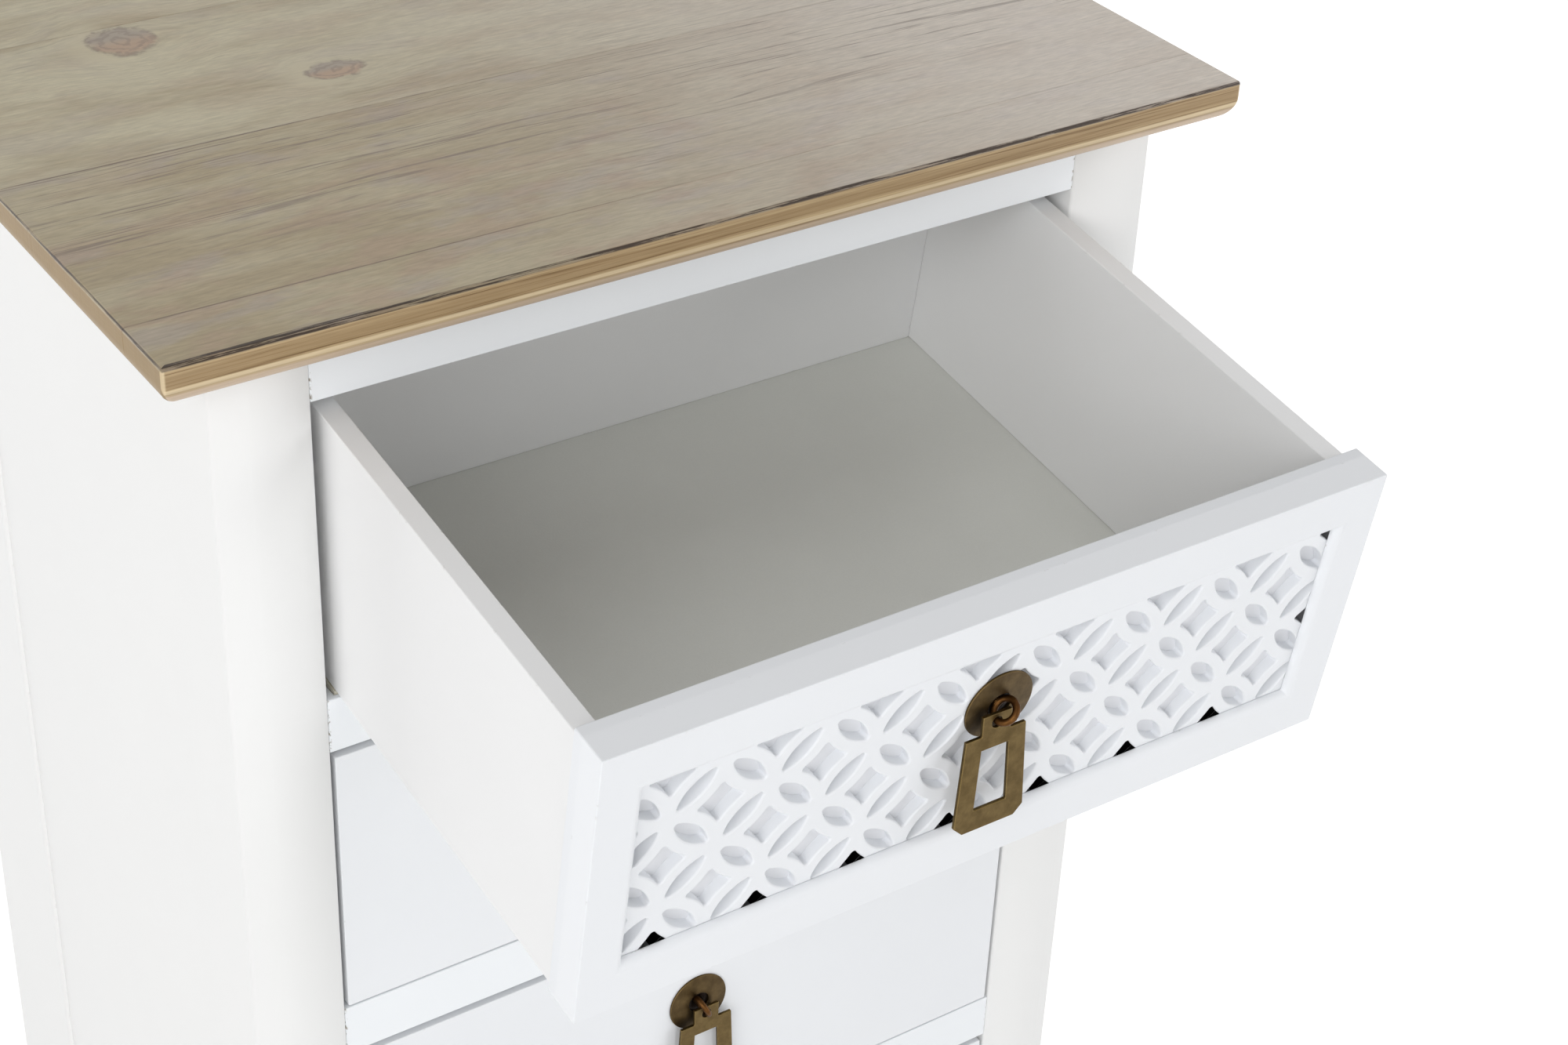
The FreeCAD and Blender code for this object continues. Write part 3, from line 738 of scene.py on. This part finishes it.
def weathered_face(tree, place, x, y):
    """The stained flat of the top: patches, fibres, growth lines, knots, glue lines and a painted
    sheen towards the right end.
    """
    plank = 0.0
    for line in glue_lines:
        plank = maths(tree, "ADD", plank, maths(tree, "GREATER_THAN", y, line))
    drift = speckle(tree, place, (4.0, 9.0, 1.0), 2.0)
    flow = maths(tree, "MULTIPLY_ADD", drift, grain_waver, y)
    wobble = maths(tree, "MULTIPLY_ADD", speckle(tree, place, (140, 140, 140)), 0.7, -0.35)
    marks = [knot_reach(tree, x, y, wobble, knot) for knot in knots]
    for (_, _, far), knot in zip(marks, knots):
        pinch = product(tree, between(tree, far, 3.5, 0.3), maths(tree, "SUBTRACT", y, knot[1]))
        flow = maths(tree, "MULTIPLY_ADD", pinch, -0.6, flow)
    shifted = maths(tree, "MULTIPLY_ADD", plank, plank_shift, x)
    grain_place = add(tree, "CombineXYZ", {0: shifted, 1: flow, 2: plank}).outputs[0]
    sockets = {"Place": grain_place, "Bands": (4.0, 180.0, 1.0), "Fibres": (42.0, 430.0, 1.0)}
    grain = add(tree, "Group", sockets, node_tree=wood_fibre).outputs

    clouds = speckle(tree, grain_place, (8.0, 34.0, 1.0), 4.0, 0.6)
    front_planks = between(tree, y, glue_lines[1] + plank_blur, glue_lines[1] - plank_blur)
    light = between(tree, clouds, 0.28, 0.60)
    light_share = maths(tree, "MULTIPLY_ADD", front_planks, -0.55, light)
    face = mixed(tree, maths(tree, "MAXIMUM", light_share, 0.0), weathered_brown, weathered_light)
    violet = between(tree, speckle(tree, grain_place, (20.0, 46.0, 3.7), 4.0, 0.6), 0.50, 0.66)
    violet_share = product(tree, violet, maths(tree, "MULTIPLY_ADD", front_planks, 0.3, 0.3))
    face = mixed(tree, violet_share, face, weathered_and_sheen_violet)
    # Painted sheen: the flat turns violet and pale towards the right end.
    face = mixed(tree, between(tree, x, violet_sheen_from, violet_sheen_full, 0.1, 0.55), face, weathered_and_sheen_violet)
    face = mixed(tree, between(tree, x, sheen_from, sheen_full, 0.0, 0.55), face, sheen_pale)
    to_front = between(tree, y, pink_from, pink_full, 0.2, 0.5)
    to_left = between(tree, x, pink_right, pink_left, 0.25, 1.0)
    pink = between(tree, speckle(tree, grain_place, (22.0, 50.0, 7.1), 4.0, 0.6), 0.48, 0.62)
    face = mixed(tree, product(tree, pink, to_front, to_left), face, weathered_pink)
    face = shaded(tree, face, grain["Fibres"], 0.76, 1.24)
    face = shaded(tree, face, speckle(tree, grain_place, (140.0, 850.0, 1.0), 2.0), 0.76, 1.24)

    streaked_fade, streaked_end = glue_lines[1] - streaked_blur, glue_lines[1]
    streaked = band(tree, y, streaked_from, streaked_full, streaked_fade, streaked_end)
    elsewhere = between(tree, speckle(tree, grain_place, (3.0, 16.0, 5.0)), 0.45, 0.75)
    region = maths(tree, "MAXIMUM", streaked, product(tree, elsewhere, 0.7))
    broken = between(tree, speckle(tree, grain_place, (18.0, 90.0, 1.0)), 0.36, 0.54)
    lines = product(tree, band(tree, grain["Bands"], 0.515, 0.535, 0.545, 0.57), broken, region)
    face = mixed(tree, product(tree, lines, 0.65), face, latewood)
    face = mixed(tree, product(tree, grain["Streaks"], 0.30), face, latewood)

    for off_x, off_y, far in marks:
        ragged = product(tree, grain["Fibres"], 9.0)
        turns = maths(tree, "SINE", maths(tree, "MULTIPLY_ADD", far, 15.0, ragged))
        inside = mixed(tree, between(tree, off_y, -0.3, 0.4), knot_red, knot_violet)
        inside = mixed(tree, between(tree, turns, 0.1, 0.9, 0.0, 0.45), inside, knot_core)
        face = mixed(tree, between(tree, far, 1.15, 0.75, 0.0, 0.75), face, inside)
        flecks = between(tree, speckle(tree, place, (230, 230, 230)), 0.42, 0.60)
        outline = product(tree, band(tree, far, 0.70, 0.93, 1.0, 1.20), flecks, 0.45)
        face = mixed(tree, outline, face, knot_core)
        ring = band(tree, far, 0.95, 1.15, 1.3, 2.2)
        halo = product(tree, ring, between(tree, off_x, 0.2, -0.9), 0.6)
        face = mixed(tree, halo, face, knot_halo)

    seam_break = between(tree, speckle(tree, place, (14.0, 1.0, 1.0), 4.0, 0.7), 0.36, 0.52, 0.2)
    seam_break = product(tree, seam_break, between(tree, x, seam_faint, seam_clear, 0.2))
    for line, strength in zip(glue_lines, glue_strengths):
        off = maths(tree, "ABSOLUTE", maths(tree, "SUBTRACT", y, line))
        seam = product(tree, between(tree, off, seam_half, seam_core), seam_break, strength)
        face = mixed(tree, seam, face, latewood)
    return face, grain["Fibres"], lines


# How far below the flat the stripes of the front edge lie.
brown_band = (0.0028, 0.0042, 0.0068, 0.0086)
pale_band = (0.0088, 0.0094, 0.0104, 0.0112)
under_from, under_full = 0.0108, 0.0126


def honey_edge(tree, place, depth, at_front, at_corner):
    """The sanded edge: streaked brown and a pale line along the front, an underside lightened as
    painted light, end grain at the sides.
    """
    streaks = speckle(tree, place, (9.0, 9.0, 900.0), 4.0, 0.65)
    fibres = speckle(tree, place, (90.0, 90.0, 2200.0), 2.0)
    front = mixed(tree, between(tree, streaks, 0.40, 0.68), honey_light, honey_brown)
    middle = band(tree, depth, *brown_band)
    front = mixed(tree, product(tree, middle, 0.55), front, honey_brown)
    front = mixed(tree, product(tree, between(tree, streaks, 0.56, 0.70), 0.6), front, honey_streak)
    pale_line = band(tree, depth, *pale_band)
    front = mixed(tree, product(tree, pale_line, 0.75), front, honey_pale)
    front = mixed(tree, between(tree, depth, under_from, under_full, 0.0, 0.9), front, honey_under_lit)
    ends = mixed(tree, product(tree, between(tree, streaks, 0.3, 0.8), 0.5), end_grain, honey_brown)
    honey = mixed(tree, at_front, ends, front)
    honey = shaded(tree, honey, fibres, 0.86, 1.14)
    return mixed(tree, product(tree, at_corner, 0.75), honey, honey_pale)


# Where the stain ends at the edge, and how far its dark rim reaches over the flat and down.
honey_from, honey_full = 0.0015, 0.0024
honey_waver = 0.0012
corner_from, corner_full = 0.0016, 0.0008
mitre_half = 0.0004
rim_side_upper, rim_side_lower = 0.0004, -0.0008
rim_front_lower = -0.0013
rim_front_waver = 0.0030
rim_left_from, rim_left_full = -0.12, -0.20
rim_thin, rim_thick = -0.0007, 0.0008
rim_blur, rim_blur_low = 0.0004, 0.0003
rim_streak_waver = 0.0014


def plank_top():
    """Weathered planks: the flat of the top, its dark rubbed rim and its honey edge."""
    material, tree, shader = new_material("weathered_top")
    place = object_place(tree)
    x, y, z = add(tree, "SeparateXYZ", {0: place}).outputs
    face, fibres, lines = weathered_face(tree, place, x, y)

    side_gap = maths(tree, "SUBTRACT", top_high.x, maths(tree, "ABSOLUTE", x))
    front_gap = maths(tree, "SUBTRACT", top_high.y, maths(tree, "ABSOLUTE", y))
    depth = maths(tree, "SUBTRACT", top_high.z, z)
    mitre = maths(tree, "SUBTRACT", side_gap, front_gap)
    at_front = between(tree, mitre, -mitre_half, mitre_half)
    near_side = between(tree, side_gap, corner_from, corner_full)
    near_front = between(tree, front_gap, corner_from, corner_full)
    at_corner = product(tree, near_side, near_front)
    honey = honey_edge(tree, place, depth, at_front, at_corner)
    torn = speckle(tree, place, (30.0, 30.0, 30.0), 4.0, 0.7)
    ragged = maths(tree, "MULTIPLY_ADD", torn, honey_waver, depth)
    surface = mixed(tree, between(tree, ragged, honey_from, honey_full), face, honey)

    inward = maths(tree, "MINIMUM", side_gap, front_gap)
    over_edge = maths(tree, "SUBTRACT", inward, depth)
    rim_noise = speckle(tree, place, (9.0, 9.0, 1.0), 3.0)
    at_left = between(tree, x, rim_left_from, rim_left_full, rim_thin, rim_thick)
    front_reach = maths(tree, "MULTIPLY_ADD", rim_noise, rim_front_waver, at_left)
    upper = mixed_value(tree, at_front, rim_side_upper, front_reach)
    lower = mixed_value(tree, at_front, rim_side_lower, rim_front_lower)
    inner_fade = between(tree, maths(tree, "SUBTRACT", over_edge, upper), rim_blur, -rim_blur)
    outer_fade = between(tree, maths(tree, "SUBTRACT", over_edge, lower), -rim_blur, rim_blur_low)
    rim = product(tree, inner_fade, outer_fade)
    surface = mixed(tree, product(tree, rim, 0.5), surface, rim_grey)
    swing = speckle(tree, place, (26.0, 26.0, 1.0))
    wavy = maths(tree, "MULTIPLY_ADD", swing, rim_streak_waver, over_edge)
    streak_place = add(tree, "CombineXYZ", {0: x, 1: wavy, 2: y}).outputs[0]
    streaks = speckle(tree, streak_place, (28.0, 700.0, 28.0), 5.0, 0.7)
    dark = product(tree, rim, between(tree, streaks, 0.42, 0.50))
    surface = mixed(tree, product(tree, dark, 0.9), surface, rim_dark)

    feed(tree, shader.inputs["Base Color"], surface)
    feed(tree, shader.inputs["Roughness"], maths(tree, "MULTIPLY_ADD", fibres, 0.18, 0.36))
    feed(tree, shader.inputs["Coat Weight"], maths(tree, "MULTIPLY_ADD", rim, -0.1, 0.12))
    shader.inputs["Coat Roughness"].default_value = 0.3
    shader.inputs["Specular IOR Level"].default_value = 0.25
    hollow = maths(tree, "MAXIMUM", dark, lines)
    relief(tree, shader, maths(tree, "SUBTRACT", fibres, hollow), fibre_relief, 0.35)
    return material


dress(plank_names, plank_top(), plank_ease)

# A nylon disc under each post, pressed in, so that the chest slides without scratching.
# It is the same moulded nylon as the glides, in a greyer tone.
foot_ease = 0.0004
foot_grey = colour(188, 186, 180)
dress(["foot_glides"], nylon("foot_nylon", foot_grey), foot_ease)

# The studio: a wide pale floor, an even white surround, and a ring of large soft lamps, most of them
# low, with one broad lamp at the right that shines on the top. None of it is part of the chest.
floor_half = 12.0
floor_tone = colour(232, 232, 232)
floor_cloud = colour(236, 236, 236)
surround = 0.25
floor_lift = 0.62
lamp_aim = Vector((0, -0.1, 0.6))
lamp_distance = 2.8


def seen_white(tree):
    """1 for rays that the eye follows: straight, mirrored or through glass."""
    rays = add(tree, "LightPath").outputs
    mirrored = maths(tree, "MAXIMUM", rays["Is Glossy Ray"], rays["Is Transmission Ray"])
    return maths(tree, "MAXIMUM", rays["Is Camera Ray"], mirrored)


def studio_floor():
    """A pale sheet that keeps the shadow of the chest and burns out to white around it."""
    material, tree, shader = new_material("studio_floor")
    tree.nodes.remove(shader)
    paper = speckle(tree, object_place(tree), (3, 3, 3))
    toned = mixed(tree, paper, floor_tone, floor_cloud)
    diffuse = add(tree, "BsdfDiffuse", {"Color": toned})
    lift = maths(tree, "MULTIPLY", seen_white(tree), floor_lift)
    glow = add(tree, "Emission", {"Strength": lift})
    both = add(tree, "AddShader", {0: diffuse.outputs[0], 1: glow.outputs[0]})
    tree.links.new(both.outputs[0], tree.nodes["Material Output"].inputs["Surface"])
    return material


floor_mesh = bpy.data.meshes.new("studio_floor")
corners = [(x * floor_half, y * floor_half, 0) for x, y in ((-1, -1), (1, -1), (1, 1), (-1, 1))]
floor_mesh.from_pydata(corners, [], [(0, 1, 2, 3)])
floor_mesh.materials.append(studio_floor())
floor = bpy.data.objects.new("studio_floor", floor_mesh)
bpy.context.scene.collection.objects.link(floor)

world = bpy.data.worlds.new("studio")
world.use_nodes = True
bpy.context.scene.world = world
sky = world.node_tree.nodes["Background"]
sky.inputs["Color"].default_value = (1, 1, 1, 1)
brightness = between(world.node_tree, seen_white(world.node_tree), 0.0, 1.0, surround, 1.0)
feed(world.node_tree, sky.inputs["Strength"], brightness)


def lamp(name, azimuth, elevation, level, size=1.6):
    """A square soft lamp. Its level is the brightness it gives a white sheet held square to it."""
    turn, rise = radians(azimuth), radians(elevation)
    away = Vector((sin(turn) * cos(rise), -cos(turn) * cos(rise), sin(rise)))
    light = bpy.data.lights.new(name, "AREA")
    light.size = size
    light.energy = level * (pi * lamp_distance) ** 2
    made = bpy.data.objects.new(name, light)
    made.location = lamp_aim + away * lamp_distance
    made.rotation_euler = (-away).to_track_quat("-Z", "Y").to_euler()
    made.visible_camera = False
    bpy.context.scene.collection.objects.link(made)


lamp("low_lamp_rear_left", azimuth=-150, elevation=5, level=0.25)
lamp("low_lamp_left", azimuth=-80, elevation=5, level=0.17)
lamp("lamp_front_left", azimuth=-50, elevation=25, level=0.36)
lamp("low_lamp_front", azimuth=-10, elevation=-2, level=0.14, size=1.0)
lamp("low_lamp_right", azimuth=50, elevation=8, level=0.25)
lamp("lamp_over", azimuth=0, elevation=88, level=0.13)
lamp("broad_lamp_right", azimuth=112, elevation=22, level=0.33, size=3.2)

# The camera, at the height and distance of a person leaning over the open drawer.
# It stands left of the front and looks down on the top, rolled a little.
image_width = 2000
focal_pixels = 3696
camera_place = (-0.5512, -0.9783, 1.2718)
turn_right = 35.328
look_down = 32.918
roll = 2.732
view = bpy.data.cameras.new("camera")
view.sensor_width = 36
view.lens = focal_pixels / image_width * view.sensor_width
camera = bpy.data.objects.new("camera", view)
camera.location = camera_place
aimed = Euler((radians(90 - look_down), 0, radians(-turn_right))).to_matrix()
camera.rotation_euler = (aimed @ Matrix.Rotation(radians(roll), 3, "Z")).to_euler()
bpy.context.scene.collection.objects.link(camera)
bpy.context.scene.camera = camera
bpy.context.scene.view_settings.view_transform = "Standard"
